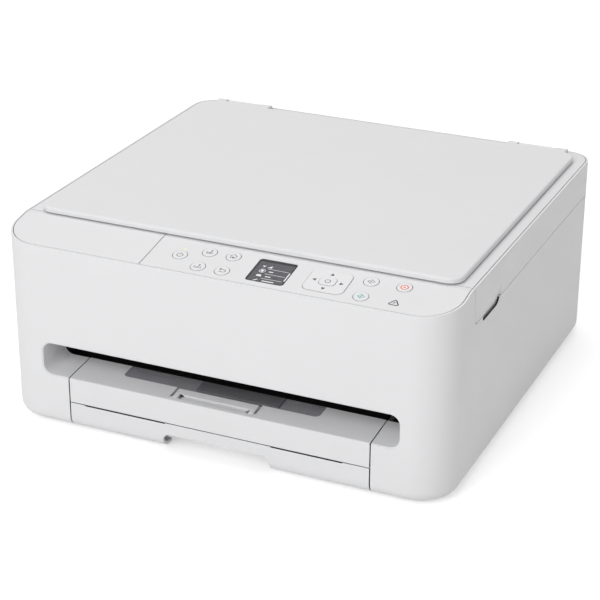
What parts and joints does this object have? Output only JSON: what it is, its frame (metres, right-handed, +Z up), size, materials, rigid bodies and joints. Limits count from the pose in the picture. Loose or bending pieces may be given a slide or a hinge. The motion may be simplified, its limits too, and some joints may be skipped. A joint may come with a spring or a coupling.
{
  "type": "multifunction printer",
  "caption": "White desktop printer, scanner and copier with a hinged document lid, a lifting scanner unit, a paper cassette, an output tray and a sloping button panel",
  "frame": {"origin": "middle of the footprint on the surface that it stands on", "axes": "+Z up, +X to the right as seen from the front, +Y to the back"},
  "size_m": [0.372, 0.355, 0.1652],
  "materials": {
    "case_white": "fine satin grain",
    "top_white": "fine satin grain",
    "lid_white": "fine satin grain",
    "drawer_white": "fine satin grain",
    "key_white": "satin",
    "black_plastic": "matt",
    "dark_grey_plastic": "matt",
    "mechanism_grey": "satin",
    "gear_plastic": "satin",
    "ink_plastic": "satin",
    "lamp_clear": "clear",
    "display_gloss": "gloss",
    "circuit_green": "satin",
    "sheet_steel": "plain",
    "screw_steel": "plain",
    "rubber_black": "matt",
    "roller_rubber": "matt",
    "clear_glass": "clear",
    "foam_white": "matt"
  },
  "bodies": {
    "base": {"outer_case": "case_white", "base_chassis": "black_plastic", "rear_cover": "case_white", "mains_inlet": "black_plastic", "power_supply": "black_plastic", "main_board": "circuit_green", "rear_screws": "screw_steel", "feet": "rubber_black", "slot_liner": "black_plastic", "top_cover_left": "top_white", "operation_panel": "top_white", "panel_board": "circuit_green", "display_module": "display_gloss", "power_lamp": "lamp_clear", "scanner_hinge_brackets": "sheet_steel", "print_frame": "sheet_steel", "platen": "black_plastic", "star_wheel_bar": "mechanism_grey", "maintenance_unit": "mechanism_grey", "carriage_belt": "rubber_black", "drive_motors": "sheet_steel"},
    "scanner_unit": {"scanner_skirt": "case_white", "scanner_cover": "top_white", "scanner_base": "black_plastic", "platen_glass": "clear_glass", "scan_rod": "screw_steel", "lid_hinge_units": "top_white"},
    "lid": {"document_lid": "lid_white", "lid_pad": "foam_white"},
    "scan_head": {"scan_bar": "black_plastic"},
    "cassette_drawer": {"cassette": "drawer_white"},
    "left_guide": {"side_guide_left": "dark_grey_plastic"},
    "right_guide": {"side_guide_right": "dark_grey_plastic"},
    "rear_stop": {"end_guide": "dark_grey_plastic"},
    "tray_drawer": {"output_tray": "drawer_white", "tray_insert": "dark_grey_plastic"},
    "stop_flap": {"paper_stop": "drawer_white"},
    "feed_shaft": {"feed_roller": "roller_rubber", "feed_gear": "gear_plastic"},
    "idler_wheel": {"idler_gear": "gear_plastic"},
    "exit_shaft": {"exit_roller": "roller_rubber", "exit_gear": "gear_plastic"},
    "motor_pinion": {"drive_pinion": "screw_steel"},
    "pickup_lever": {"pickup_arm": "mechanism_grey"},
    "pickup_wheel": {"pickup_roller": "rubber_black"},
    "print_carriage": {"carriage": "black_plastic", "ink_cartridges": "ink_plastic"},
    "driven_pulley": {"drive_pulley": "gear_plastic"},
    "idler_pulley": {"idler_pulley": "gear_plastic"},
    "pad_gimbal": {"pad_carrier": "mechanism_grey"},
    "pad_key": {"direction_pad": "key_white"},
    "ok_key": {"ok_button": "key_white"},
    "power_button_key": {"power_button": "key_white"},
    "function_button_a_key": {"function_button_a": "key_white"},
    "function_button_b_key": {"function_button_b": "key_white"},
    "function_button_c_key": {"function_button_c": "key_white"},
    "function_button_d_key": {"function_button_d": "key_white"},
    "start_button_rear_key": {"start_button_rear": "key_white"},
    "start_button_front_key": {"start_button_front": "key_white"},
    "stop_button_key": {"stop_button": "key_white"}
  },
  "joints": [
    {"name": "scanner_unit_hinge", "type": "hinge", "parent": "base", "child": "scanner_unit", "pos_m": [0, 0.1713, 0.1308], "axis": [-1, 0, 0], "range_deg": [0, 35]},
    {"name": "document_lid_hinge", "type": "hinge", "parent": "scanner_unit", "child": "lid", "pos_m": [0, 0.1671, 0.1612], "axis": [-1, 0, 0], "range_deg": [0, 85]},
    {"name": "scan_bar_slide", "type": "slide", "parent": "scanner_unit", "child": "scan_head", "axis": [1, 0, 0], "range_m": [0, 0.3]},
    {"name": "cassette_slide", "type": "slide", "parent": "base", "child": "cassette_drawer", "axis": [0, -1, 0], "range_m": [0, 0.16]},
    {"name": "left_guide_slide", "type": "slide", "parent": "cassette_drawer", "child": "left_guide", "axis": [1, 0, 0], "range_m": [0, 0.034]},
    {"name": "right_guide_slide", "type": "slide", "parent": "cassette_drawer", "child": "right_guide", "axis": [-1, 0, 0], "range_m": [0, 0.034]},
    {"name": "end_guide_slide", "type": "slide", "parent": "cassette_drawer", "child": "rear_stop", "axis": [0, 1, 0], "range_m": [0, 0.085]},
    {"name": "output_tray_slide", "type": "slide", "parent": "base", "child": "tray_drawer", "axis": [0, -1, 0], "range_m": [0, 0.075]},
    {"name": "paper_stop_hinge", "type": "hinge", "parent": "tray_drawer", "child": "stop_flap", "pos_m": [-0.0046, -0.1709, 0.04379], "axis": [1, 0, 0], "range_deg": [0, 90]},
    {"name": "feed_roller_turn", "type": "hinge", "parent": "base", "child": "feed_shaft", "pos_m": [0, 0.0145, 0.0635], "axis": [1, 0, 0], "continuous": true},
    {"name": "idler_gear_turn", "type": "hinge", "parent": "base", "child": "idler_wheel", "pos_m": [-0.1456, -0.0175, 0.0635], "axis": [1, 0, 0], "continuous": true},
    {"name": "exit_roller_turn", "type": "hinge", "parent": "base", "child": "exit_shaft", "pos_m": [0, -0.0495, 0.0635], "axis": [1, 0, 0], "continuous": true},
    {"name": "drive_pinion_turn", "type": "hinge", "parent": "base", "child": "motor_pinion", "pos_m": [-0.1456, 0.0145, 0.0425], "axis": [1, 0, 0], "continuous": true},
    {"name": "pickup_arm_hinge", "type": "hinge", "parent": "base", "child": "pickup_lever", "pos_m": [0, 0.0355, 0.0535], "axis": [-1, 0, 0], "range_deg": [0, 20]},
    {"name": "pickup_roller_turn", "type": "hinge", "parent": "pickup_lever", "child": "pickup_wheel", "pos_m": [0, 0.0725, 0.0345], "axis": [1, 0, 0], "continuous": true},
    {"name": "carriage_slide", "type": "slide", "parent": "base", "child": "print_carriage", "axis": [-1, 0, 0], "range_m": [0, 0.236]},
    {"name": "drive_pulley_turn", "type": "hinge", "parent": "base", "child": "driven_pulley", "pos_m": [0.16, 0.0235, 0.0975], "axis": [0, 1, 0], "range_deg": [-2147.5, 0]},
    {"name": "idler_pulley_turn", "type": "hinge", "parent": "base", "child": "idler_pulley", "pos_m": [-0.141, 0.0235, 0.0975], "axis": [0, 1, 0], "range_deg": [-2147.5, 0]},
    {"name": "direction_pad_tip", "type": "hinge", "parent": "base", "child": "pad_gimbal", "pos_m": [0.0823, -0.15354, 0.14981], "axis": [1, 0, 0], "range_deg": [-2, 2], "stiffness_Nm_per_rad": 0.4},
    {"name": "direction_pad_rock", "type": "hinge", "parent": "pad_gimbal", "child": "pad_key", "pos_m": [0.0823, -0.1541, 0.15306], "axis": [0, 0.9854, 0.1702], "range_deg": [-2, 2], "stiffness_Nm_per_rad": 0.4},
    {"name": "ok_button_press", "type": "slide", "parent": "base", "child": "ok_key", "axis": [0, 0.1702, -0.9854], "range_m": [0, 0.0005], "stiffness_N_per_m": 400, "springref_m": -0.0005},
    {"name": "power_button_press", "type": "slide", "parent": "base", "child": "power_button_key", "axis": [0, 0.1702, -0.9854], "range_m": [0, 0.0005], "stiffness_N_per_m": 400, "springref_m": -0.0005},
    {"name": "function_button_a_press", "type": "slide", "parent": "base", "child": "function_button_a_key", "axis": [0, 0.1702, -0.9854], "range_m": [0, 0.0005], "stiffness_N_per_m": 400, "springref_m": -0.0005},
    {"name": "function_button_b_press", "type": "slide", "parent": "base", "child": "function_button_b_key", "axis": [0, 0.1702, -0.9854], "range_m": [0, 0.0005], "stiffness_N_per_m": 400, "springref_m": -0.0005},
    {"name": "function_button_c_press", "type": "slide", "parent": "base", "child": "function_button_c_key", "axis": [0, 0.1702, -0.9854], "range_m": [0, 0.0005], "stiffness_N_per_m": 400, "springref_m": -0.0005},
    {"name": "function_button_d_press", "type": "slide", "parent": "base", "child": "function_button_d_key", "axis": [0, 0.1702, -0.9854], "range_m": [0, 0.0005], "stiffness_N_per_m": 400, "springref_m": -0.0005},
    {"name": "start_button_rear_press", "type": "slide", "parent": "base", "child": "start_button_rear_key", "axis": [0, 0.1702, -0.9854], "range_m": [0, 0.0005], "stiffness_N_per_m": 400, "springref_m": -0.0005},
    {"name": "start_button_front_press", "type": "slide", "parent": "base", "child": "start_button_front_key", "axis": [0, 0.1702, -0.9854], "range_m": [0, 0.0005], "stiffness_N_per_m": 400, "springref_m": -0.0005},
    {"name": "stop_button_press", "type": "slide", "parent": "base", "child": "stop_button_key", "axis": [0, 0.1702, -0.9854], "range_m": [0, 0.0005], "stiffness_N_per_m": 400, "springref_m": -0.0005}
  ],
  "couplings": [
    {"joint": "right_guide_slide", "follows": "left_guide_slide", "ratio": 1},
    {"joint": "idler_gear_turn", "follows": "feed_roller_turn", "ratio": -1},
    {"joint": "exit_roller_turn", "follows": "feed_roller_turn", "ratio": 1},
    {"joint": "drive_pinion_turn", "follows": "feed_roller_turn", "ratio": -3.2},
    {"joint": "drive_pulley_turn", "follows": "carriage_slide", "rad_per_m": -158.73},
    {"joint": "idler_pulley_turn", "follows": "carriage_slide", "rad_per_m": -158.73}
  ]
}
